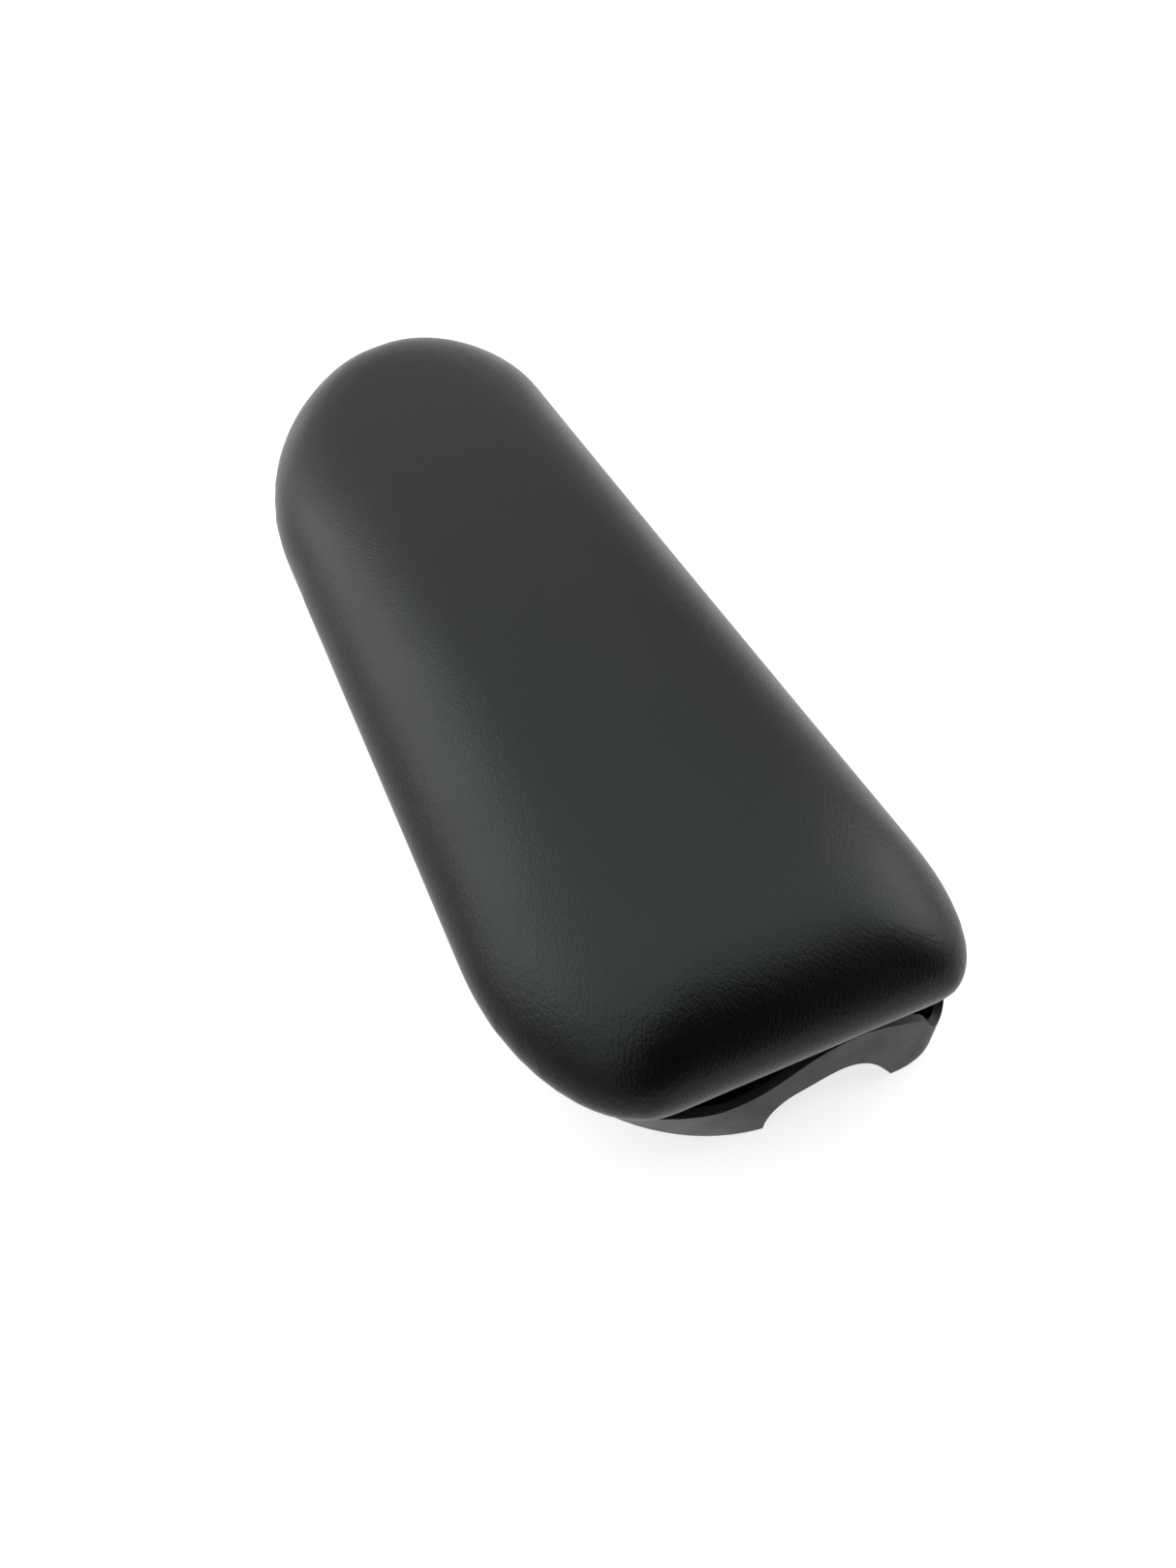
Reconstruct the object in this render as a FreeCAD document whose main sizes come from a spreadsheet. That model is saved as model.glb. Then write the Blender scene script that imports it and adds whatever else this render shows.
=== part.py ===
"""Armrest pad of an office chair: a padded top screwed to a moulded lower shell.

Units are millimetres.  The origin is the middle of the two arm bolts, level with the seats
where the chair's arm bears.  +X runs towards the end with the open channel, +Z is up.
Places are thought out in the pad's plan, whose zero is the middle of the pad, and at()
turns them into the part's own frame.
"""
import FreeCAD, Part
import math
import os
import Sketcher
from FreeCAD import Placement, Rotation, Vector

DOC = FreeCAD.newDocument("armrest_pad")
SHEET = DOC.addObject("Spreadsheet::Sheet", "sizes")

# alias, millimetres (or a plain ratio), what it is
SIZES = [
    ("pad_length", 260.0, "pad along X, without its channel end's lip"),
    ("near_lip", 1.05, "how far that lip stands out"),
    ("near_half_width", 47.3, "half the pad's width at the channel end"),
    ("far_half_width", 45.5, "half the pad's width at the other end"),
    ("near_skew", -0.002, "slant of the channel end, X per Y"),
    ("far_skew", -0.283, "slant of the other end, X per Y"),
    ("far_left_long", 77.0, "corner on the -X -Y side, along X"),
    ("far_left_wide", 48.5, "the same corner, along Y"),
    ("far_right_long", 46.5, "corner on the -X +Y side, along X"),
    ("far_right_wide", 37.0, "the same corner, along Y"),
    ("near_left_long", 43.6, "corner on the +X -Y side, along X"),
    ("near_left_wide", 24.2, "the same corner, along Y"),
    ("near_right_long", 26.0, "corner on the +X +Y side, along X"),
    ("near_right_wide", 13.0, "the same corner, along Y"),
    ("equator_height", 23.1, "widest level of the pad above the bolt seats"),
    ("top_roll", 26.4, "how far in the top edge rolls"),
    ("top_rise", 14.9, "how high the top edge rolls"),
    ("crown", 3.0, "extra height of the middle of the top"),
    ("low_roll", 14.0, "how far in the lower edge rolls"),
    ("low_drop", 9.5, "how deep the lower edge rolls"),
    ("ridge_inset", 40.0, "where the crowned top ends in its flat ridge"),
    ("cover_gauge", 1.2, "thickness of the cover"),
    ("hem_inset", 22.5, "inner edge of the hem under the board"),
    ("board_inset", 14.5, "edge of the insert board"),
    ("board_gauge", 8.0, "thickness of the insert board"),
    ("wall", 1.8, "wall of the lower shell"),
    ("rim_height", 17.2, "top of the shell's side walls"),
    ("belly_depth", 10.6, "flat underside of the shell below the bolt seats"),
    ("shell_gap", 2.5, "shell's rim set in from the pad's edge"),
    ("flank_gap", 1.7, "the same on the +Y side"),
    ("left_slope", 6.8, "how far the -Y wall leans in"),
    ("shell_corner", 9.0, "corner of the shell on the +X +Y side"),
    ("belly_corner_long", 51.0, "corner of the belly on the +X -Y side, along X"),
    ("belly_corner_wide", 44.6, "the same corner, along Y"),
    ("belly_far_share", 0.9, "the far corners' size at the belly, of that at the rim"),
    ("bow_slope", 52.0, "how far the -X wall leans in"),
    ("belly_round", 3.0, "rounding of the +Y wall into the belly"),
    ("channel_start", -65.0, "closed end of the arm channel"),
    ("bolt_centre_x", 30.0, "middle of the arm bolts in the plan frame"),
    ("bolt_centre_y", 16.3, "the same across"),
    ("bolt_pitch", 100.0, "between the two arm bolts"),
    ("bolt_hole_radius", 3.3, "clearance hole for an M6 bolt"),
    ("bolt_boss_radius", 6.4, "boss around each bolt hole"),
    ("well_radius", 6.5, "outside of a screw well"),
    ("well_bore", 4.5, "inside of a screw well"),
    ("ledge_height", 10.6, "where a screw's head bears"),
    ("screw_hole_radius", 2.3, "clearance hole of a shell screw"),
    ("rib_gauge", 1.8, "thickness of a rib"),
    ("rib_height", 6.6, "top of the ribs"),
    ("bead_radius", 1.8, "rounded bead along the channel's -Y foot"),
    ("bead_inset", 1.2, "its middle line in from the channel's foot"),
    ("bead_setback", 1.4, "its end in from the end wall"),
    ("bead_proud", 0.8, "how far the bead stands below the belly"),
    ("screw_radius", 2.0, "shank of a shell screw"),
    ("screw_head_radius", 4.0, "head of a shell screw"),
    ("screw_head", 2.4, "thickness of that head"),
    ("screw_length", 15.0, "length under that head"),
    ("screw_tip", 2.5, "length of the pointed tip"),
    ("drive_reach", 2.2, "half the width of the cross recess"),
    ("drive_slot", 0.5, "half the thickness of its blades"),
    ("drive_depth", 1.5, "depth of the recess"),
    ("nut_bore", 2.5, "threaded bore of a tee nut, M6"),
    ("nut_barrel", 3.9, "outside of its barrel"),
    ("nut_flange", 9.0, "outside of its flange"),
    ("nut_flange_gauge", 1.4, "thickness of that flange"),
    ("nut_length", 7.6, "whole height of a tee nut"),
    ("prong_gauge", 1.0, "thickness of a prong"),
    ("prong_length", 4.5, "length of a prong from the flange's top"),
    ("staple_crown", 10.0, "outside width of a staple"),
    ("staple_leg", 6.0, "outside height of a staple"),
    ("staple_wire", 0.7, "thickness of its wire"),
    ("staple_width", 1.2, "width of its wire"),
    ("staple_inset", 18.5, "line of the staples in from the pad's edge"),
    ("staple_pitch", 24.0, "between staples, at least"),
]

# The bend of a quarter ellipse drawn as one cubic curve.
QUARTER_BEND = 0.5523

# Screw wells in the plan frame.
SCREW_SPOTS = [(90.0, -8.5), (22.0, -8.5), (-46.0, -8.5), (-80.0, 17.0)]

# Cross ribs in the tray, along X.
RIB_SPOTS = [110.0, 56.0, -12.0, -66.0]

# Points along the staples' line from one staple to the next.
STEPS_PER_STAPLE = 8

# Sections of the pad's roll, in degrees round it from the underside to the top.
ROLL_ANGLES = [-90, -62, -32, 0, 28, 56, 90]

# Sections of the belly's rounding, as shares of its height.
ROUNDING_SHARES = [0.0, 0.08, 0.3, 0.6, 1.0]

# Rim of the end wall, (y, z): it dips beside the channel and at the +Y corner.
END_RIM = [
    (-37.0, 10.6), (-31.0, 9.2), (-23.0, 10.0), (-17.0, 8.5), (-9.0, 6.0), (-1.0, 6.6),
    (9.0, 11.7), (19.4, 13.8), (25.0, 12.6), (30.3, 10.3), (36.0, 6.9), (40.4, 1.8),
    (42.8, 2.0), (44.8, 6.6), (46.2, 18.2),
]

# Mouth of the arm channel, (y, z): a leaning arch between its two feet.
CHANNEL_ARCH = [
    (1.0, -9.0), (2.7, -3.2), (5.6, -0.7), (10.0, 0.7), (15.1, 2.1), (19.2, 2.0),
    (22.2, 0.7), (26.4, -3.1), (31.6, -10.6),
]

# How far the scoop of the end rim reaches in from the pad's end.
SCOOP_REACH = 12.0


def fill_sheet():
    """Put the driving sizes in the sheet."""
    for row, (alias, value, note) in enumerate(SIZES, start=1):
        SHEET.set(f"A{row}", note)
        SHEET.set(f"B{row}", str(value))
        SHEET.setAlias(f"B{row}", alias)
    DOC.recompute()


def size(alias):
    """Value of one cell."""
    return float(SHEET.get(alias))


def at(x, y, z):
    """A place in the pad's plan as a point of the part's frame."""
    return Vector(x - size("bolt_centre_x"), y - size("bolt_centre_y"), z)


def total(terms):
    """Value of a sum of cells, such as "wall + rim_height - 2"."""
    result = 0.0
    sign = 1.0
    for term in terms.split():
        if term in "+-":
            sign = 1.0 if term == "+" else -1.0
            continue
        if term.startswith("-"):
            sign, term = -sign, term[1:]
        number = float(term) if term.replace(".", "").isdigit() else size(term)
        result += sign * number
        sign = 1.0
    return result


def formula(terms):
    """The same sum as an expression on the sheet."""
    words = []
    for term in terms.split():
        minus = "-" if term.startswith("-") and len(term) > 1 else ""
        bare = term[1:] if minus else term
        is_cell = bare not in "+-" and not bare.replace(".", "").isdigit()
        words.append(minus + (f"sizes.{bare}" if is_cell else bare))
    return " ".join(words)


def bind(thing, **cells):
    """Tie properties of an object to sums of cells."""
    for name, terms in cells.items():
        thing.setExpression(name.replace("__", "."), formula(terms))


# ---------------------------------------------------------------- basic objects

def raw(name, shape):
    """An object holding a shape drawn by hand."""
    thing = DOC.addObject("Part::Feature", name)
    thing.Shape = shape
    return thing


def cylinder(name, x, y, low, radius, height):
    """An upright cylinder; low, radius and height are sums of cells."""
    thing = DOC.addObject("Part::Cylinder", name)
    bind(thing, Radius=radius, Height=height)
    thing.Placement = Placement(at(x, y, total(low)), Rotation())
    bind(thing, Placement__Base__z=low)
    return thing


def extrusion(name, base, direction, length):
    """A solid drawn from a closed outline along X or Z."""
    thing = DOC.addObject("Part::Extrusion", name)
    thing.Base = base
    thing.DirMode = "Custom"
    thing.Dir = direction
    thing.Solid = True
    bind(thing, LengthFwd=length)
    return thing


def fused(name, pieces):
    """Several solids made one."""
    thing = DOC.addObject("Part::MultiFuse", name)
    thing.Shapes = pieces
    thing.Refine = False
    return thing


def common(name, pieces):
    """What several solids share."""
    thing = DOC.addObject("Part::MultiCommon", name)
    thing.Shapes = pieces
    return thing


def cut(name, base, tool):
    """One solid less another."""
    thing = DOC.addObject("Part::Cut", name)
    thing.Base = base
    thing.Tool = tool
    return thing


def group(name, pieces):
    """Several solids side by side, used as one tool."""
    thing = DOC.addObject("Part::Compound", name)
    thing.Links = pieces
    return thing


# ---------------------------------------------------------------- outlines

def pad_corners(depth):
    """Each corner's reach along X and Y, rounder the further in the outline lies."""
    blend = min(depth / size("near_half_width"), 1.0) ** 1.5
    reaches = {}
    for name in ("near_left", "near_right", "far_left", "far_right"):
        full = size(name.split("_")[0] + "_half_width")
        share = size(name + "_wide") / full
        wide = (share + (0.98 - share) * blend) * (full - depth)
        along = size(name + "_long") * (1.0 - blend) + 1.3 * wide * blend
        reaches[name] = (along, wide)
    return reaches


def plan_outline(height, insets, reaches):
    """Closed outline at one level, set in from the pad's widest outline on each side.

    insets are for the -Y, +Y, +X and -X sides; reaches are the corners' sizes along X and Y.
    """
    left, right, near, far = insets
    half_length = size("pad_length") / 2.0
    sides = {
        "near_left": (half_length - near, left - size("near_half_width")),
        "near_right": (half_length - near, size("near_half_width") - right),
        "far_left": (far - half_length, left - size("far_half_width")),
        "far_right": (far - half_length, size("far_half_width") - right),
    }

    def skewed(x, y):
        share = x / size("pad_length") + 0.5
        slant = size("far_skew") + (size("near_skew") - size("far_skew")) * share
        return at(x + slant * y, y, height)

    def corner(name):
        """Points of a corner from the end edge to the side edge."""
        x, y = sides[name]
        along, wide = reaches[name]
        towards_x = -1.0 if name.startswith("near") else 1.0
        towards_y = 1.0 if name.endswith("left") else -1.0
        rest = 1.0 - QUARTER_BEND
        return [skewed(x, y + towards_y * wide),
                skewed(x, y + towards_y * wide * rest),
                skewed(x + towards_x * along * rest, y),
                skewed(x + towards_x * along, y)]

    runs = [corner("near_right"), corner("far_right")[::-1],
            corner("far_left"), corner("near_left")[::-1]]
    edges = []
    for index, points in enumerate(runs):
        curve = Part.BezierCurve()
        curve.setPoles(points)
        edges.append(curve.toShape())
        edges.append(Part.makeLine(points[-1], runs[(index + 1) % 4][0]))
    return Part.Wire(edges)


def even_outline(height, inset):
    """Pad outline set in by the same amount all round from its widest outline."""
    near = inset - size("near_lip")
    return plan_outline(height, (inset, inset, near, inset), pad_corners(inset))


def cross_profile(name, x, points, level):
    """Region between a smooth line through (y, z) points and a level above or below it."""
    line = [at(x, y, z) for y, z in points]
    far, back = at(x, points[-1][0], level), at(x, points[0][0], level)
    curve = Part.BSplineCurve()
    curve.interpolate(line)
    edges = [curve.toShape(), Part.makeLine(line[-1], far), Part.makeLine(far, back),
             Part.makeLine(back, line[0])]
    return raw(name, Part.Wire(edges))


# ---------------------------------------------------------------- padded top

def pad_levels(skin):
    """(height, inset) of each section of the pad, skin millimetres under its surface."""
    levels = []
    for degrees in ROLL_ANGLES:
        angle = math.radians(degrees)
        roll = size("low_roll" if degrees < 0 else "top_roll")
        rise = size("low_drop" if degrees < 0 else "top_rise")
        slope = Vector(math.cos(angle) / roll, math.sin(angle) / rise, 0).normalize()
        inset = roll * (1.0 - math.cos(angle)) + skin * slope.x
        height = size("equator_height") + rise * math.sin(angle) - skin * slope.y
        levels.append((height, inset, degrees > 0))
    top = levels[-1]
    for share in (0.5, 1.0):
        inset = top[1] + share * (size("ridge_inset") - top[1])
        levels.append((top[0], inset, True))
    return levels


def pad_form(name, skin):
    """The pad's crowned closed form, or the form under its cover."""
    wires = []
    for height, inset, crowned in pad_levels(skin):
        if crowned:
            share = min(inset / size("far_half_width"), 1.0)
            height += size("crown") * (1.0 - (1.0 - share) ** 2)
        wires.append(even_outline(height, inset))
    return raw(name, Part.makeLoft(wires, True, False))


def padded_top(fasteners):
    """Cover, foam and insert board."""
    hem_opening = raw("hem_outline", even_outline(-size("belly_depth"), size("hem_inset")))
    opening = extrusion("hem_opening", hem_opening, Vector(0, 0, 1),
                        "belly_depth + equator_height")
    board_outline = raw("board_outline", even_outline(
        total("equator_height - low_drop + cover_gauge"), size("board_inset")))
    blank = extrusion("board_blank", board_outline, Vector(0, 0, 1), "board_gauge")
    skin = cut("cover_skin", pad_form("pad_outside", 0.0),
               pad_form("pad_inside", size("cover_gauge")))
    hemmed = cut("cover_hemmed", skin, opening)
    cover = cut("cover", hemmed, fasteners)
    foam = cut("foam_cushion", pad_form("foam_form", size("cover_gauge")), blank)
    board = cut("insert_board", blank, fasteners)
    return [cover, foam, board]


# ---------------------------------------------------------------- lower shell

def shell_section(height, skin):
    """Outline of the shell at one level, skin millimetres inside its surface."""
    drop = (size("rim_height") - height) / total("rim_height + belly_depth")
    above = max(height + size("belly_depth"), 0.0)
    radius = size("belly_round")
    rounding = 0.0
    if above < radius:
        rounding = radius - math.sqrt(radius ** 2 - (radius - above) ** 2)
    edge = size("shell_gap") + skin
    insets = (edge + size("left_slope") * drop, size("flank_gap") + skin + rounding,
              edge, edge + size("bow_slope") * drop)

    def between(rim, belly):
        return rim + (belly - rim) * drop

    far = between(1.0, size("belly_far_share"))
    tight = size("shell_corner") - skin
    reaches = {
        "near_left": (between(size("near_left_long"), size("belly_corner_long")),
                      between(size("near_left_wide"), size("belly_corner_wide"))),
        "near_right": (tight, tight),
        "far_left": (size("far_left_long") * far, size("far_left_wide") * far - skin),
        "far_right": (size("far_right_long") * far, size("far_right_wide") * far - skin),
    }
    return plan_outline(height, insets, reaches)


def shell_form(name, skin, floor, top):
    """The shell's outside, or the space inside its walls."""
    low = floor - size("belly_depth")
    radius = size("belly_round")
    heights = [low + share * radius for share in ROUNDING_SHARES] + [top]
    wires = [shell_section(height, skin) for height in heights]
    return raw(name, Part.makeLoft(wires, True, True))


def arm_channel(name, grow, start):
    """The arm's channel, or the same grown by a wall, from its closed end outwards."""
    centre = size("bolt_centre_y")
    points = []
    for y, z in CHANNEL_ARCH:
        away = Vector(y - centre, z + size("belly_depth"), 0).normalize()
        points.append((y + grow * away.x, z + grow * away.y))
    profile = cross_profile(name + "_profile", start, points, -2.0 * size("belly_depth"))
    return extrusion(name, profile, Vector(1, 0, 0), "pad_length")


def bolt_spots():
    """Plan places of the two arm bolts."""
    half = size("bolt_pitch") / 2.0
    return [(size("bolt_centre_x") + side * half, size("bolt_centre_y")) for side in (1, -1)]


def lower_shell():
    """Moulded shell: tray, arm channel, bolt bosses, screw wells and ribs."""
    wall = size("wall")
    outside = shell_form("shell_outside", 0.0, 0.0, size("rim_height"))
    hollow = shell_form("shell_hollow", wall, wall, size("rim_height"))
    tray = cut("shell_tray", outside, hollow)

    inner = [arm_channel("channel_wall", wall, size("channel_start") - wall)]
    for index, x in enumerate(RIB_SPOTS, start=1):
        rib = DOC.addObject("Part::Box", f"rib_{index}")
        bind(rib, Length="rib_gauge", Width="pad_length", Height="belly_depth + rib_height",
             Placement__Base__z="-belly_depth")
        rib.Placement = Placement(at(x, -size("pad_length") / 2.0, 0), Rotation())
        inner.append(rib)
    bottom = "equator_height - low_drop"
    for index, (x, y) in enumerate(SCREW_SPOTS, start=1):
        inner.append(cylinder(f"well_{index}", x, y, "-belly_depth", "well_radius",
                              "belly_depth + " + bottom))
    inside = common("shell_inside", [fused("inner_walls", inner), outside])
    body = fused("shell_blank", [tray, inside])

    body = cut("shell_channelled", body, arm_channel("channel", 0.0, size("channel_start")))
    bosses = [cylinder(f"bolt_boss_{index}", x, y, "0", "bolt_boss_radius", bottom)
              for index, (x, y) in enumerate(bolt_spots(), start=1)]
    bead = DOC.addObject("Part::Cylinder", "foot_bead")
    bind(bead, Radius="bead_radius")
    bead.Height = (size("pad_length") / 2.0 - size("shell_gap") - size("bead_setback")
                   - size("channel_start"))
    bead.Placement = Placement(
        at(size("channel_start"), CHANNEL_ARCH[0][0] - size("bead_inset"),
           total("bead_radius - belly_depth - bead_proud")),
        Rotation(Vector(0, 1, 0), 90))
    body = fused("shell_solid", [body, bead] + bosses)

    bores = []
    for index, (x, y) in enumerate(bolt_spots(), start=1):
        bores.append(cylinder(f"bolt_hole_{index}", x, y, "-1", "bolt_hole_radius",
                              bottom + " + 2"))
    for index, (x, y) in enumerate(SCREW_SPOTS, start=1):
        bores.append(cylinder(f"well_bore_{index}", x, y, "-belly_depth - 1", "well_bore",
                              "belly_depth + 1 + ledge_height"))
        bores.append(cylinder(f"screw_hole_{index}", x, y, "0", "screw_hole_radius",
                              bottom + " + 1"))
    scoop_start = size("pad_length") / 2.0 - SCOOP_REACH
    scoop_profile = cross_profile("scoop_profile", scoop_start, END_RIM, size("pad_length"))
    scoop = extrusion("rim_scoop", scoop_profile, Vector(1, 0, 0), "pad_length")
    body = cut("shell_bored", body, group("shell_bores", bores))
    return cut("lower_shell", body, scoop)


# ---------------------------------------------------------------- fasteners

def origin_plane(body, role):
    """One of a body's own origin planes."""
    return next(item for item in body.Origin.OriginFeatures if item.Role == role)


def polygon(body, name, role, corners):
    """A closed sketch on an origin plane; each corner is a pair of sums of cells."""
    sketch = body.newObject("Sketcher::SketchObject", name)
    sketch.AttachmentSupport = [(origin_plane(body, role), "")]
    sketch.MapMode = "FlatFace"
    spots = [Vector(total(across), total(up), 0) for across, up in corners]
    for index, spot in enumerate(spots):
        sketch.addGeometry(Part.LineSegment(spot, spots[(index + 1) % len(spots)]))
    for index, (across, up) in enumerate(corners):
        before = (index or len(corners)) - 1
        sketch.addConstraint(Sketcher.Constraint("Coincident", before, 2, index, 1))
        place_point(sketch, index, "DistanceX", across, -2)
        place_point(sketch, index, "DistanceY", up, -1)
    return sketch


def place_point(sketch, index, kind, terms, axis):
    """Hold a line's start on an axis, or at a distance tied to the sheet."""
    value = total(terms)
    if abs(value) < 1e-9:
        sketch.addConstraint(Sketcher.Constraint("PointOnObject", index, 1, axis))
        return
    number = sketch.addConstraint(Sketcher.Constraint(kind, index, 1, value))
    sketch.setExpression(f"Constraints[{number}]", formula(terms))


def revolved(body, sketch):
    """Turn a sketch on the XZ plane about the body's Z axis."""
    turn = body.newObject("PartDesign::Revolution", sketch.Name + "_turn")
    turn.Profile = sketch
    turn.ReferenceAxis = (sketch, ["V_Axis"])
    turn.Angle = 360.0
    return turn


def shell_screw(name, x, y):
    """Pan-head screw, head down on the ledge of its well."""
    body = DOC.addObject("PartDesign::Body", name)
    profile = polygon(body, name + "_profile", "XZ_Plane", [
        ("0", "0"), ("screw_head_radius - 1", "0"), ("screw_head_radius", "1"),
        ("screw_head_radius", "screw_head"), ("screw_radius", "screw_head"),
        ("screw_radius", "screw_head + screw_length - screw_tip"),
        ("0", "screw_head + screw_length")])
    revolved(body, profile)
    reach, slot = "drive_reach", "drive_slot"
    cross = polygon(body, name + "_cross", "XY_Plane", [
        (reach, "-" + slot), (reach, slot), (slot, slot), (slot, reach),
        ("-" + slot, reach), ("-" + slot, slot), ("-" + reach, slot), ("-" + reach, "-" + slot),
        ("-" + slot, "-" + slot), ("-" + slot, "-" + reach), (slot, "-" + reach),
        (slot, "-" + slot)])
    recess = body.newObject("PartDesign::Pocket", name + "_recess")
    recess.Profile = cross
    recess.Reversed = True
    bind(recess, Length="drive_depth")
    body.Placement = Placement(at(x, y, total("ledge_height - screw_head")), Rotation())
    bind(body, Placement__Base__z="ledge_height - screw_head")
    return body


def tee_nut(name, x, y):
    """Tee nut pressed into the board from above, with four prongs."""
    body = DOC.addObject("PartDesign::Body", name)
    profile = polygon(body, name + "_profile", "XZ_Plane", [
        ("nut_bore", "0"), ("nut_barrel", "0"), ("nut_barrel", "nut_length - nut_flange_gauge"),
        ("nut_flange", "nut_length - nut_flange_gauge"), ("nut_flange", "nut_length"),
        ("nut_bore", "nut_length")])
    revolved(body, profile)
    prong = polygon(body, name + "_prong", "XZ_Plane", [
        ("nut_flange - 2", "nut_length - prong_length"),
        ("nut_flange", "nut_length - nut_flange_gauge"),
        ("nut_flange - 4", "nut_length - nut_flange_gauge")])
    blade = body.newObject("PartDesign::Pad", name + "_blade")
    blade.Profile = prong
    blade.Midplane = True
    bind(blade, Length="prong_gauge")
    DOC.recompute()
    ring = body.newObject("PartDesign::PolarPattern", name + "_prongs")
    ring.Originals = [blade]
    ring.Axis = (origin_axis(body, "Z_Axis"), [""])
    ring.Angle = 360.0
    ring.Occurrences = 4
    body.Tip = ring
    top = "equator_height - low_drop + cover_gauge + board_gauge - nut_length"
    body.Placement = Placement(at(x, y, total(top)), Rotation())
    bind(body, Placement__Base__z=top)
    return body


def origin_axis(body, role):
    """One of a body's own origin axes."""
    return next(item for item in body.Origin.OriginFeatures if item.Role == role)


def staple(name, spot, along):
    """Wire staple driven up through the hem; its crown follows the edge of the pad."""
    body = DOC.addObject("PartDesign::Body", name)
    wire, crown, leg = "staple_wire", "staple_crown", "staple_leg"
    profile = polygon(body, name + "_profile", "XZ_Plane", [
        ("0", "0"), (crown, "0"), (crown, leg), (crown + " - " + wire, leg),
        (crown + " - " + wire, wire), (wire, wire), (wire, leg), ("0", leg)])
    bend = body.newObject("PartDesign::Pad", name + "_wire")
    bend.Profile = profile
    bend.Midplane = True
    bind(bend, Length="staple_width")
    start = spot - along * (size("staple_crown") / 2.0)
    turn = Rotation(Vector(1, 0, 0), along)
    body.Placement = Placement(Vector(start.x, start.y, start.z), turn)
    return body


def staple_spots():
    """Places and directions of the staples, evenly spaced round the hem."""
    level = total("equator_height - low_drop - staple_wire")
    line = even_outline(level, size("staple_inset"))
    count = int(line.Length / size("staple_pitch"))
    points = line.discretize(Number=count * STEPS_PER_STAPLE + 1)
    spots = []
    for index in range(count):
        here = index * STEPS_PER_STAPLE + STEPS_PER_STAPLE // 2
        along = (points[here + 1] - points[here - 1]).normalize()
        spots.append((points[here], along))
    return spots


# ---------------------------------------------------------------- assembly

def fasteners():
    """Every screw, tee nut and staple."""
    pieces = []
    for index, (x, y) in enumerate(bolt_spots(), start=1):
        pieces.append(tee_nut(f"tee_nut_{index}", x, y))
    for index, (x, y) in enumerate(SCREW_SPOTS, start=1):
        pieces.append(shell_screw(f"shell_screw_{index}", x, y))
    for index, (spot, along) in enumerate(staple_spots(), start=1):
        pieces.append(staple(f"staple_{index:02d}", spot, along))
    return pieces


def fastener_room(pieces):
    """What the board and hem give up: the pieces themselves and the bolts' way up."""
    room = list(pieces)
    for index, (x, y) in enumerate(bolt_spots(), start=1):
        room.append(cylinder(f"nut_room_{index}", x, y, "0", "nut_barrel",
                             "equator_height - low_drop + cover_gauge + board_gauge"))
    return group("fastener_room", room)


def check_objects():
    """Stop on any object that failed to compute."""
    for thing in DOC.Objects:
        if {"Invalid", "Error"} & set(thing.State):
            raise RuntimeError(f"{thing.Name} is {thing.State}")


def write(pieces):
    """Check each piece and write its file."""
    os.makedirs("parts", exist_ok=True)
    for piece in pieces:
        shape = piece.Shape
        if shape.isNull() or not shape.isValid():
            raise RuntimeError(f"{piece.Label} has no valid shape")
        print(f"{piece.Label:16s} {shape.Volume / 1000.0:9.3f} cm3, {len(shape.Solids)} solid")
        shape.exportStep(f"parts/{piece.Label}.step")


fill_sheet()
small_pieces = fasteners()
DOC.recompute()
sub_parts = padded_top(fastener_room(small_pieces)) + [lower_shell()] + small_pieces
DOC.recompute()
check_objects()
write(sub_parts)
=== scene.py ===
"""Chair armrest pad: leatherette cushion on a moulded lower shell, in metres."""
import math

import bmesh
import bpy
from mathutils import Matrix, Vector
from mathutils.bvhtree import BVHTree


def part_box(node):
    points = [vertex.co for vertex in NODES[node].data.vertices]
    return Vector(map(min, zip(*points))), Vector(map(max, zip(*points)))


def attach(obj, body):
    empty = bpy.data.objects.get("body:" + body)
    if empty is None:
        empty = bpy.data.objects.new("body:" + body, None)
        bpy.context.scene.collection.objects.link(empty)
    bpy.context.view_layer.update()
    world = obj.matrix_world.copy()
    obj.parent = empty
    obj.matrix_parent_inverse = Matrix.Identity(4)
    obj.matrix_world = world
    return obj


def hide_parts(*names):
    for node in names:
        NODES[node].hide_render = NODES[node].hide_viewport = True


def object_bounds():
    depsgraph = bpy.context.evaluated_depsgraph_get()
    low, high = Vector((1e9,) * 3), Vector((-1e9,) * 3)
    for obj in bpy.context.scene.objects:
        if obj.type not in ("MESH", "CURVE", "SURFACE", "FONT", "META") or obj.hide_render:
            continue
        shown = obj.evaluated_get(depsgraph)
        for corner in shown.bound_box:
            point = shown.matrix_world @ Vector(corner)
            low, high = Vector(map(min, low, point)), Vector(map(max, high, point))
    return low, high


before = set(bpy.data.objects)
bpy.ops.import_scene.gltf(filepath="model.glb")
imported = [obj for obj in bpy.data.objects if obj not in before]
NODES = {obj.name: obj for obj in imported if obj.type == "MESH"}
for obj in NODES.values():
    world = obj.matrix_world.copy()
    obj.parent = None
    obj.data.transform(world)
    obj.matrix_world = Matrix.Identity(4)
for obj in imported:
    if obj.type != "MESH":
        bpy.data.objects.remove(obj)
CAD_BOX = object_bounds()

MM = 0.001
SCENE = bpy.context.scene
LOW, HIGH = Vector(CAD_BOX[0]), Vector(CAD_BOX[1])
CENTRE = (LOW + HIGH) / 2.0

# ---------------------------------------------------------------- camera

# The camera stands off the channel's open end, above the pad and to its -Y side.
# Angles are in radians, FOCAL_LENGTH and SENSOR in millimetres.
CAMERA_PLACE = Vector((179.6, -93.0, 212.3)) * MM
CAMERA_AZIMUTH = -0.4316
CAMERA_ELEVATION = 0.8392
CAMERA_ROLL = 0.0129
FOCAL_LENGTH = 27.06
SENSOR = 36.0


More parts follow.
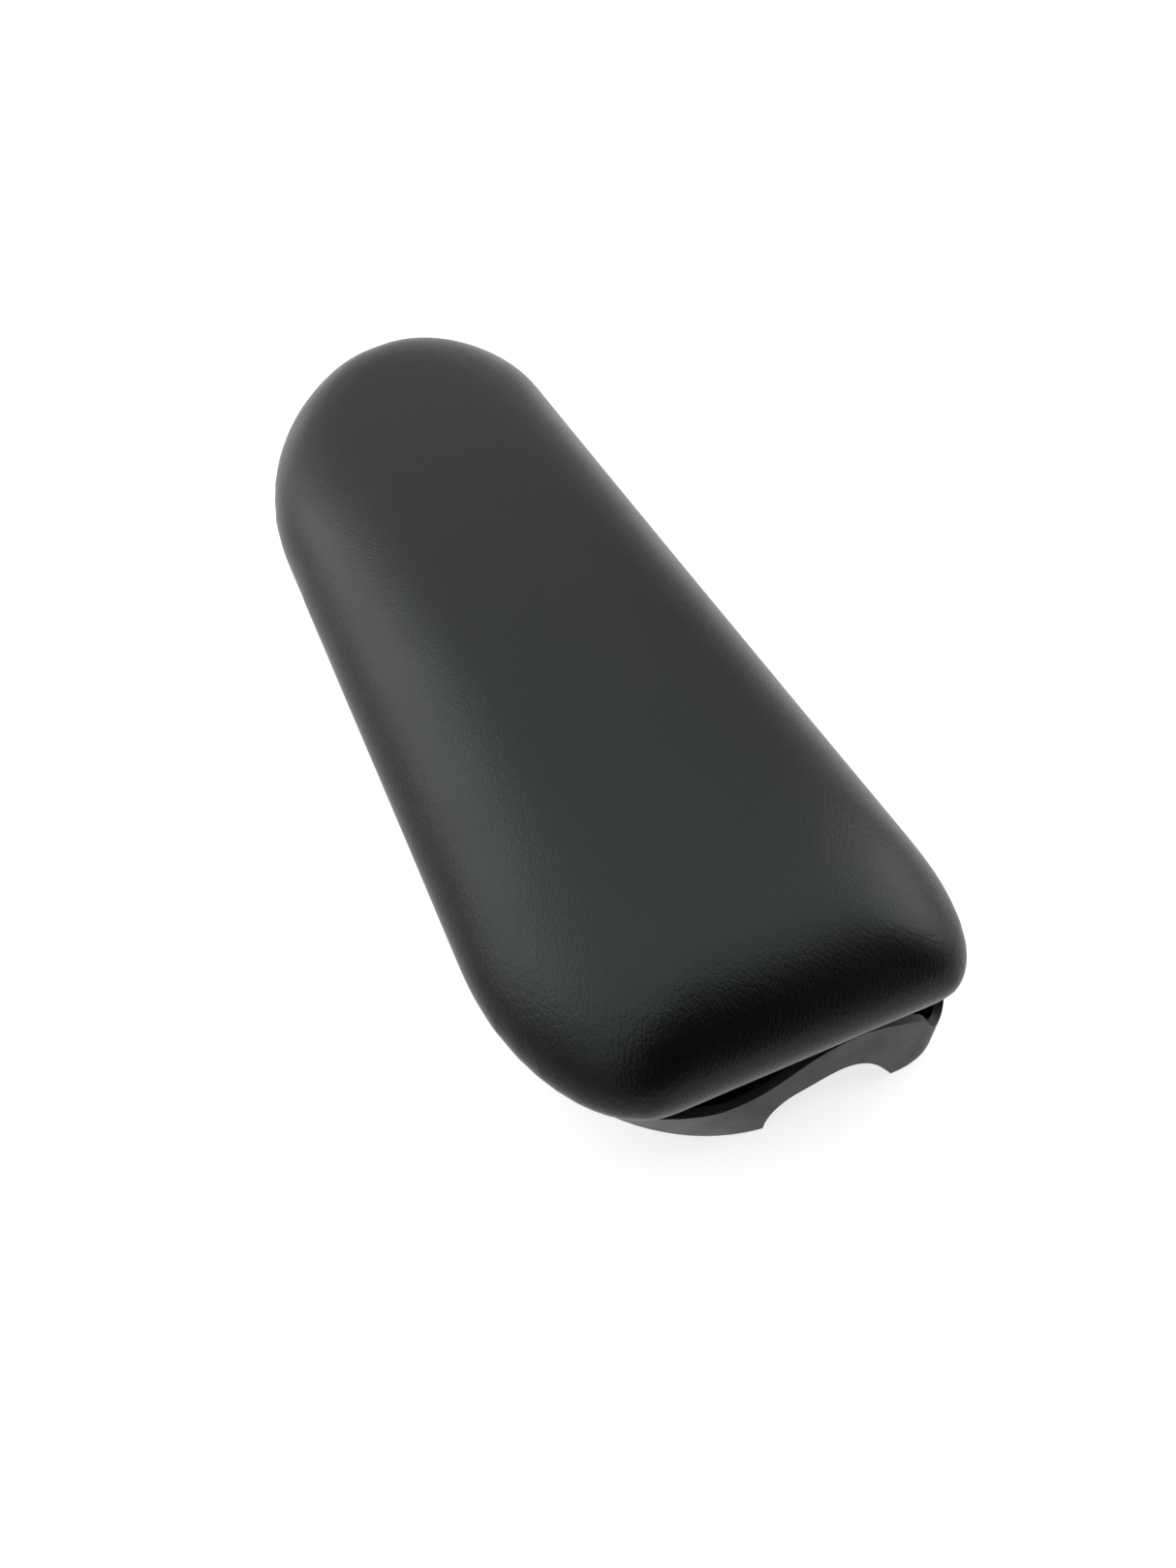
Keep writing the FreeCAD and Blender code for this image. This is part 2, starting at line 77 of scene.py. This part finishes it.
def make_camera():
    """Camera at the photograph's angle; azimuth runs from +X towards +Y."""
    azimuth, elevation, roll = CAMERA_AZIMUTH, CAMERA_ELEVATION, CAMERA_ROLL
    back = Vector((math.cos(azimuth) * math.cos(elevation),
                   math.sin(azimuth) * math.cos(elevation), math.sin(elevation)))
    level = Vector((-math.sin(azimuth), math.cos(azimuth), 0.0))
    upright = back.cross(level)
    right = math.cos(roll) * level + math.sin(roll) * upright
    up = math.cos(roll) * upright - math.sin(roll) * level
    data = bpy.data.cameras.new("camera")
    data.lens = FOCAL_LENGTH
    data.sensor_width = SENSOR
    data.clip_start = 0.01
    camera = bpy.data.objects.new("camera", data)
    camera.matrix_world = (Matrix.Translation(CAMERA_PLACE)
                           @ Matrix((right, up, back)).transposed().to_4x4())
    SCENE.collection.objects.link(camera)
    SCENE.camera = camera


# ---------------------------------------------------------------- studio

FLOOR_HALF = 6.0
FLOOR_GAP = 0.2 * MM
FLOOR_GREY = 0.25
FLOOR_GLOW = 0.78

LIGHT_DISTANCE = 1.2
TENT_GLOW = 2.75
TENT_WHITE = (0.96, 1.0, 0.975)
BLACK = (0.0, 0.0, 0.0)


def make_floor():
    """A pale floor under the part, which glows a little so that shadows on it stay faint."""
    material = bpy.data.materials.new("floor_paper")
    material.use_nodes = True
    shader = material.node_tree.nodes["Principled BSDF"]
    shader.inputs["Base Color"].default_value = (FLOOR_GREY, FLOOR_GREY, FLOOR_GREY, 1.0)
    shader.inputs["Roughness"].default_value = 0.9
    shader.inputs["Emission Color"].default_value = (1.0, 1.0, 1.0, 1.0)
    shader.inputs["Emission Strength"].default_value = FLOOR_GLOW
    corners = [(-FLOOR_HALF, -FLOOR_HALF), (FLOOR_HALF, -FLOOR_HALF),
               (FLOOR_HALF, FLOOR_HALF), (-FLOOR_HALF, FLOOR_HALF)]
    mesh = bpy.data.meshes.new("floor")
    mesh.from_pydata([(x, y, LOW.z - FLOOR_GAP) for x, y in corners], [], [(0, 1, 2, 3)])
    floor = bpy.data.objects.new("floor", mesh)
    floor.data.materials.append(material)
    SCENE.collection.objects.link(floor)


def direction(azimuth, elevation):
    """Unit vector at an azimuth from +X towards +Y and an elevation, in degrees."""
    turn, lift = math.radians(azimuth), math.radians(elevation)
    return Vector((math.cos(turn) * math.cos(lift), math.sin(turn) * math.cos(lift),
                   math.sin(lift)))


def area_light(name, azimuth, elevation, size, power):
    """A soft rectangular light that faces the part."""
    away = direction(azimuth, elevation)
    data = bpy.data.lights.new(name, "AREA")
    data.shape = "RECTANGLE"
    data.size, data.size_y = size
    data.energy = power
    light = bpy.data.objects.new(name, data)
    light.location = CENTRE + away * LIGHT_DISTANCE
    light.rotation_mode = "QUATERNION"
    light.rotation_quaternion = away.to_track_quat("Z", "Y")
    SCENE.collection.objects.link(light)


def ease_ramp(tree, source, stops):
    """A smooth ramp through (place, colour) stops."""
    ramp = tree.nodes.new("ShaderNodeValToRGB")
    ramp.color_ramp.interpolation = "EASE"
    tree.links.new(source, ramp.inputs["Fac"])
    for element, (place, colour) in zip(ramp.color_ramp.elements, stops):
        element.position, element.color = place, (*colour, 1.0)
    return ramp.outputs["Color"]


def make_tent():
    """White light tent, brighter overhead, with a dark mouth towards the channel's end."""
    world = bpy.data.worlds.new("light_tent")
    world.use_nodes = True
    tree = world.node_tree
    background = tree.nodes["Background"]
    background.inputs["Strength"].default_value = TENT_GLOW
    mouth = direction(4.0, 38.0)
    towards = tree.nodes.new("ShaderNodeTexCoord").outputs["Generated"]
    dot = tree.nodes.new("ShaderNodeVectorMath")
    dot.operation = "DOT_PRODUCT"
    tree.links.new(towards, dot.inputs[0])
    dot.inputs[1].default_value = mouth
    split = tree.nodes.new("ShaderNodeSeparateXYZ")
    tree.links.new(towards, split.inputs[0])
    wall = ease_ramp(tree, dot.outputs["Value"], [(0.67, TENT_WHITE), (0.88, BLACK)])
    roof = ease_ramp(tree, split.outputs["Z"],
                     [(0.35, (0.24, 0.24, 0.24)), (1.0, (1.0, 1.0, 1.0))])
    both = tree.nodes.new("ShaderNodeVectorMath")
    both.operation = "MULTIPLY"
    tree.links.new(wall, both.inputs[0])
    tree.links.new(roof, both.inputs[1])
    tree.links.new(both.outputs[0], background.inputs["Color"])
    SCENE.world = world
    SCENE.view_settings.view_transform = "Standard"


def make_studio():
    """The tent, and broad lights through its side walls."""
    make_tent()
    area_light("left_light", -128, 34, (1.25, 1.0), 12)
    area_light("right_light", 92, 28, (0.8, 0.7), 5)


# ---------------------------------------------------------------- node helpers

class Paint:
    """A node material being built: short calls that add nodes and link them."""

    def __init__(self, name):
        self.material = bpy.data.materials.new(name)
        self.material.use_nodes = True
        self.tree = self.material.node_tree
        self.shader = self.tree.nodes["Principled BSDF"]
        self.place = self.tree.nodes.new("ShaderNodeTexCoord").outputs["Object"]

    def fixed(self, **values):
        """Constants on the shader's own sockets."""
        for name, value in values.items():
            self.shader.inputs[name.replace("_", " ")].default_value = value

    def node(self, kind, settings=None, **inputs):
        """A node with settings, and inputs given as values or as sockets to link."""
        made = self.tree.nodes.new("ShaderNode" + kind)
        for name, value in (settings or {}).items():
            setattr(made, name, value)
        for name, value in inputs.items():
            socket = made.inputs[name.replace("_", " ")]
            if isinstance(value, bpy.types.NodeSocket):
                self.tree.links.new(value, socket)
            else:
                socket.default_value = value
        return made

    def scaled(self, scale):
        """Object coordinates stretched by scale."""
        return self.node("Mapping", Vector=self.place, Scale=scale).outputs[0]

    def noise(self, scale, detail, where=None):
        """Soft noise from 0 to 1."""
        return self.node("TexNoise", Vector=where or self.place, Scale=scale,
                         Detail=detail).outputs["Fac"]

    def cells(self, scale, where=None):
        """Distance to the edges of irregular cells."""
        return self.node("TexVoronoi", {"feature": "DISTANCE_TO_EDGE"},
                         Vector=where or self.place, Scale=scale).outputs["Distance"]

    def bent(self, scale, reach):
        """Object coordinates pushed about by noise, at most by about half of reach."""
        drift = self.node("TexNoise", Vector=self.place, Scale=scale).outputs["Color"]
        push = self.node("VectorMath", {"operation": "SCALE"}, Vector=drift, Scale=reach)
        added = self.node("VectorMath", {"operation": "ADD"}, Vector=self.place)
        self.tree.links.new(push.outputs[0], added.inputs[1])
        return added.outputs[0]

    def ramp(self, source, stops):
        """Maps a value through (place, grey or colour) stops."""
        made = self.node("ValToRGB", Fac=source)
        points = made.color_ramp.elements
        while len(points) < len(stops):
            points.new(0.5)
        for point, (place, value) in zip(points, stops):
            point.position = place
            shade = value if isinstance(value, tuple) else (value, value, value)
            point.color = (*shade, 1.0)
        return made.outputs["Color"]

    def sum(self, first, second, weight):
        """first + second * weight."""
        return self.math("MULTIPLY_ADD", second, weight, first)

    def math(self, operation, *items):
        """A Math node on values or sockets."""
        made = self.tree.nodes.new("ShaderNodeMath")
        made.operation = operation
        for index, item in enumerate(items):
            if isinstance(item, bpy.types.NodeSocket):
                self.tree.links.new(item, made.inputs[index])
            else:
                made.inputs[index].default_value = item
        return made.outputs[0]

    def colour(self, socket):
        """Links the base colour."""
        self.tree.links.new(socket, self.shader.inputs["Base Color"])

    def roughness(self, socket):
        """Links the roughness."""
        self.tree.links.new(socket, self.shader.inputs["Roughness"])

    def bump(self, height, distance, strength):
        """Raises the surface by height, at most by distance."""
        made = self.node("Bump", Height=height, Distance=distance, Strength=strength)
        self.tree.links.new(made.outputs["Normal"], self.shader.inputs["Normal"])


# ---------------------------------------------------------------- materials

def leatherette():
    """Black PU leather: shallow drawn-out grain, finer pebbles within it, satin shine."""
    paint = Paint("black_leatherette")
    bent = paint.bent(420.0, 1.1 * MM)
    drawn = paint.node("Mapping", Vector=bent, Scale=(1.0, 2.3, 1.0),
                       Rotation=(0.0, 0.0, 0.55)).outputs[0]
    wrinkles = paint.ramp(paint.cells(560.0, drawn), [(0.0, 0.0), (0.22, 0.8), (0.5, 1.0)])
    pebbles = paint.ramp(paint.cells(1500.0, bent), [(0.0, 0.0), (0.3, 1.0)])
    patches = paint.ramp(paint.noise(16.0, 2.0), [(0.35, 0.55), (0.65, 1.0)])
    height = paint.math("MULTIPLY", wrinkles, patches)
    height = paint.sum(height, pebbles, 0.3)
    height = paint.sum(height, paint.noise(180.0, 3.0), 0.5)
    paint.bump(height, 0.036 * MM, 0.8)
    paint.colour(paint.ramp(paint.noise(35.0, 4.0), [(0.3, (0.0006, 0.0008, 0.0007)),
                                                     (0.7, (0.0012, 0.0015, 0.0014))]))
    worn = paint.ramp(paint.noise(60.0, 3.0), [(0.3, 0.30), (0.7, 0.35)])
    paint.roughness(paint.sum(worn, pebbles, 0.03))
    paint.fixed(Specular_IOR_Level=0.21, Specular_Tint=(0.92, 1.0, 0.95, 1.0))
    return paint.material


def shell_plastic():
    """Warm dark grey moulded nylon with a fine spark texture."""
    paint = Paint("shell_plastic")
    paint.bump(paint.sum(paint.noise(5200.0, 2.0), paint.noise(900.0, 2.0), 0.5),
               0.02 * MM, 0.6)
    paint.colour(paint.ramp(paint.noise(60.0, 4.0), [(0.3, (0.020, 0.022, 0.018)),
                                                     (0.7, (0.026, 0.028, 0.023))]))
    paint.roughness(paint.ramp(paint.noise(160.0, 3.0), [(0.3, 0.42), (0.7, 0.52)]))
    paint.fixed(Specular_IOR_Level=0.16)
    return paint.material


def foam():
    """Pale open-cell foam."""
    paint = Paint("cushion_foam")
    paint.bump(paint.cells(1400.0), 0.4 * MM, 0.8)
    paint.colour(paint.ramp(paint.noise(40.0, 4.0), [(0.3, (0.62, 0.55, 0.38)),
                                                     (0.7, (0.74, 0.68, 0.50))]))
    paint.fixed(Roughness=0.95)
    return paint.material


def plywood():
    """Birch plywood: long grain on the faces, thin plies on the edge."""
    paint = Paint("plywood")
    grain = paint.noise(60.0, 6.0, paint.scaled((1.0, 14.0, 1.0)))
    plies = paint.node("TexWave", {"bands_direction": "Z"}, Vector=paint.place, Scale=190.0,
                       Distortion=0.4).outputs["Fac"]
    both = paint.sum(grain, plies, 0.25)
    paint.colour(paint.ramp(both, [(0.3, (0.36, 0.22, 0.11)), (0.8, (0.62, 0.44, 0.26))]))
    paint.bump(grain, 0.1 * MM, 0.5)
    paint.fixed(Roughness=0.7)
    return paint.material


def metal(name, dark, light, rough):
    """Plated or blackened steel with drawn streaks."""
    paint = Paint(name)
    streaks = paint.noise(900.0, 3.0, paint.scaled((1.0, 1.0, 0.15)))
    paint.colour(paint.ramp(streaks, [(0.3, dark), (0.7, light)]))
    paint.roughness(paint.ramp(paint.noise(300.0, 3.0), [(0.3, rough), (0.7, rough + 0.14)]))
    paint.bump(streaks, 0.01 * MM, 0.4)
    paint.fixed(Metallic=1.0)
    return paint.material


def paint_node(name, material):
    """Gives a CAD node its finish."""
    slots = NODES[name].data.materials
    slots.clear()
    slots.append(material)


# ---------------------------------------------------------------- cushion

VOXEL = 2.0 * MM
SNAP_ROUNDS = (8, 4, 2)

# The blown bag: how long it is blown up, and how much of its movement the skin takes.
PUFF_FRAMES = 20
PUFF_SHARE = 0.3
PUFF_LIMIT = 1.0 * MM
DRAW_LIMIT = 0.3 * MM
HELD_BAND = 1.0 * MM
EVEN_ROUNDS = 60

# The hem: how far above the lowest point the underside and the hem's own skin can lie.
UNDERSIDE_BAND = 3.0 * MM
HEM_BAND = 2.0 * MM
RAY_START = 5.0 * MM
FACING_DOWN = -0.7
RIM_ROUNDS = 12
COVER_GAUGE = 1.2 * MM

FOAM_DRAW = 1.4 * MM


def applied(piece):
    """The piece's mesh with its modifiers applied."""
    graph = bpy.context.evaluated_depsgraph_get()
    graph.update()
    mesh = bpy.data.meshes.new_from_object(piece.evaluated_get(graph))
    piece.modifiers.clear()
    old, piece.data = piece.data, mesh
    bpy.data.meshes.remove(old)


def outer_form(name, node):
    """A closed even mesh of a convex CAD node's outside."""
    source = bmesh.new()
    for vertex in NODES[node].data.vertices:
        source.verts.new(vertex.co)
    made = bmesh.ops.convex_hull(source, input=source.verts)
    loose = dict.fromkeys(item for item in made["geom_interior"] + made["geom_unused"]
                          if isinstance(item, bmesh.types.BMVert))
    bmesh.ops.delete(source, geom=list(loose), context="VERTS")
    mesh = bpy.data.meshes.new(name)
    source.to_mesh(mesh)
    outside = BVHTree.FromBMesh(source)
    source.free()
    piece = bpy.data.objects.new(name, mesh)
    SCENE.collection.objects.link(piece)
    remesh = piece.modifiers.new("even", "REMESH")
    remesh.mode = "VOXEL"
    remesh.voxel_size = VOXEL
    applied(piece)
    for rounds in SNAP_ROUNDS:
        relax(piece, rounds)
        for vertex in piece.data.vertices:
            vertex.co = outside.find_nearest(vertex.co)[0]
    relax(piece, 1)
    return piece


def relax(piece, rounds):
    """Smooths the mesh's small steps."""
    work = bmesh.new()
    work.from_mesh(piece.data)
    for _ in range(rounds):
        bmesh.ops.smooth_vert(work, verts=work.verts, factor=0.5, use_axis_x=True,
                              use_axis_y=True, use_axis_z=True)
    work.to_mesh(piece.data)
    work.free()


def blown(piece):
    """Where the piece's points go when it is blown up as a bag of cloth, held underneath."""
    mesh = piece.data
    lowest = min(vertex.co.z for vertex in mesh.vertices) + HELD_BAND
    held = piece.vertex_groups.new(name="held")
    held.add([vertex.index for vertex in mesh.vertices if vertex.co.z < lowest], 1.0, "ADD")
    cloth = piece.modifiers.new("puff", "CLOTH")
    cloth.settings.quality = 5
    cloth.settings.mass = 0.3
    cloth.settings.tension_stiffness = 15.0
    cloth.settings.compression_stiffness = 15.0
    cloth.settings.shear_stiffness = 5.0
    cloth.settings.bending_stiffness = 0.5
    cloth.settings.use_pressure = True
    cloth.settings.uniform_pressure_force = 4.0
    cloth.settings.vertex_group_mass = held.name
    cloth.settings.effector_weights.gravity = 0.0
    cloth.point_cache.frame_end = PUFF_FRAMES
    for step in range(1, PUFF_FRAMES + 1):
        SCENE.frame_set(step)
    graph = bpy.context.evaluated_depsgraph_get()
    places = [vertex.co.copy() for vertex in piece.evaluated_get(graph).to_mesh().vertices]
    piece.modifiers.remove(cloth)
    piece.vertex_groups.remove(held)
    SCENE.frame_set(1)
    return places


def evened(mesh, values):
    """The values of a mesh's points, each drawn towards the mean of those beside it."""
    beside = [[] for _ in mesh.vertices]
    for edge in mesh.edges:
        first, second = edge.vertices
        beside[first].append(second)
        beside[second].append(first)
    for _ in range(EVEN_ROUNDS):
        values = [(value + sum(values[other] for other in others) / len(others)) / 2.0
                  for value, others in zip(values, beside)]
    return values


def puff(piece):
    """Lets the tight skin swell and draw in a little, as the blown bag would."""
    vertices = piece.data.vertices
    normals = [vertex.normal.copy() for vertex in vertices]
    places = blown(piece)
    swells = [max(-DRAW_LIMIT, min(PUFF_LIMIT, PUFF_SHARE * (place - vertex.co).dot(normal)))
              for vertex, normal, place in zip(vertices, normals, places)]
    for vertex, normal, swell in zip(vertices, normals, evened(piece.data, swells)):
        vertex.co += normal * swell
    relax(piece, 2)


def even_rim(work):
    """Draws the open rim's corners into a smooth line."""
    rim = [vertex for vertex in work.verts if vertex.is_boundary]
    for _ in range(RIM_ROUNDS):
        places = {}
        for vertex in rim:
            beside = [edge.other_vert(vertex).co for edge in vertex.link_edges
                      if edge.is_boundary]
            places[vertex] = (vertex.co * 2.0 + beside[0] + beside[-1]) / 4.0
        for vertex, place in places.items():
            vertex.co = place


def open_hem(piece):
    """Opens the underside where the CAD cover is open, and gives the skin its thickness."""
    graph = bpy.context.evaluated_depsgraph_get()
    tree = BVHTree.FromObject(NODES["cover"], graph)
    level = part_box("cover")[0][2]
    up = Vector((0.0, 0.0, 1.0))
    work = bmesh.new()
    work.from_mesh(piece.data)
    inside = []
    for face in work.faces:
        spot = face.calc_center_median()
        if spot.z > level + UNDERSIDE_BAND or face.normal.z > FACING_DOWN:
            continue
        hit = tree.ray_cast(Vector((spot.x, spot.y, level - RAY_START)), up)[0]
        if hit is None or hit.z > level + HEM_BAND:
            inside.append(face)
    # One ring of faces stays inside the CAD hem's edge, so that no foam shows past it.
    known = set(inside)
    opened = [face for face in inside
              if all(other in known for vertex in face.verts for other in vertex.link_faces)]
    bmesh.ops.delete(work, geom=opened, context="FACES")
    loose = [vertex for vertex in work.verts if not vertex.link_faces]
    bmesh.ops.delete(work, geom=loose, context="VERTS")
    even_rim(work)
    work.to_mesh(piece.data)
    work.free()
    finer = piece.modifiers.new("finer", "SUBSURF")
    finer.levels = finer.render_levels = 1
    skin = piece.modifiers.new("skin", "SOLIDIFY")
    skin.thickness = COVER_GAUGE
    skin.offset = -1.0
    applied(piece)


def finish_soft(piece, node, material):
    """Shades a soft piece, hangs it on the root body and hides the CAD node it replaces."""
    for polygon in piece.data.polygons:
        polygon.use_smooth = True
    piece.data.materials.clear()
    piece.data.materials.append(material)
    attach(piece, "root")
    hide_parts(node)


def make_cover():
    """The leatherette cover, in place of its plain CAD solid."""
    piece = outer_form("cover_skin", "cover")
    puff(piece)
    open_hem(piece)
    finish_soft(piece, "cover", leatherette())


def make_foam():
    """The foam block under the cover, drawn in a little by the stretched skin."""
    piece = outer_form("foam_block", "foam_cushion")
    for vertex in piece.data.vertices:
        vertex.co -= vertex.normal * FOAM_DRAW
    finish_soft(piece, "foam_cushion", foam())


# ---------------------------------------------------------------- put together

make_camera()
make_floor()
make_studio()
make_cover()
make_foam()
FINISHES = {
    "insert_board": plywood(),
    "lower_shell": shell_plastic(),
    "tee_nut": metal("zinc_plate", (0.42, 0.40, 0.33), (0.62, 0.60, 0.52), 0.3),
    "shell_screw": metal("black_oxide", (0.03, 0.03, 0.033), (0.07, 0.07, 0.075), 0.38),
    "staple": metal("galvanised_wire", (0.45, 0.45, 0.45), (0.68, 0.68, 0.68), 0.28),
}
for node_name in NODES:
    for start, finish in FINISHES.items():
        if node_name.startswith(start):
            paint_node(node_name, finish)
